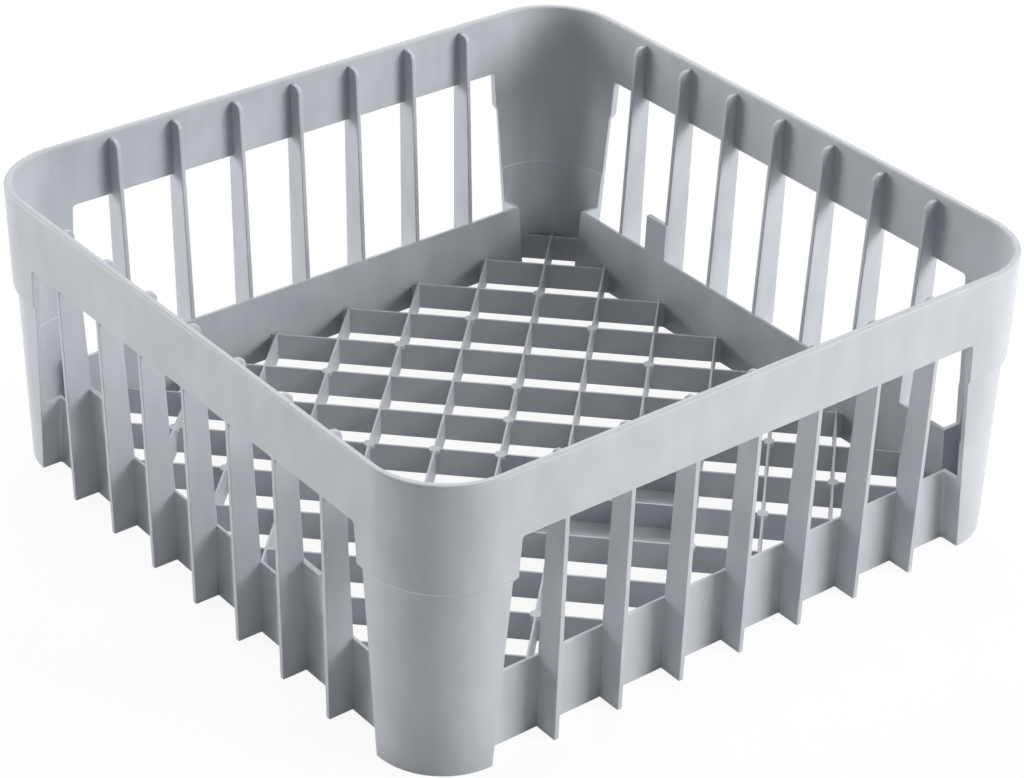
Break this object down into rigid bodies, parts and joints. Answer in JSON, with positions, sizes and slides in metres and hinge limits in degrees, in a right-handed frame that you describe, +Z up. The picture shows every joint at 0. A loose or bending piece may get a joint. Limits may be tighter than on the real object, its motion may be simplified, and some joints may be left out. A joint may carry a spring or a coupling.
{
  "type": "dishwasher glass rack",
  "caption": "Square moulded plastic glass rack for a dishwasher, with a deep rim band, finned open walls, corner posts and a floor of crossed diagonal ribs.",
  "frame": {"origin": "middle of the square footprint, on the plane the rack stands on", "axes": "+Z up out of the open top; X and Y along the walls, with the wall tabs on the two walls that face Y"},
  "size_m": [0.4, 0.4, 0.166],
  "materials": {
    "grey_plastic": "satin moulded polypropylene, cool mid grey"
  },
  "bodies": {
    "root": {"glass_rack": "grey_plastic"}
  },
  "joints": []
}
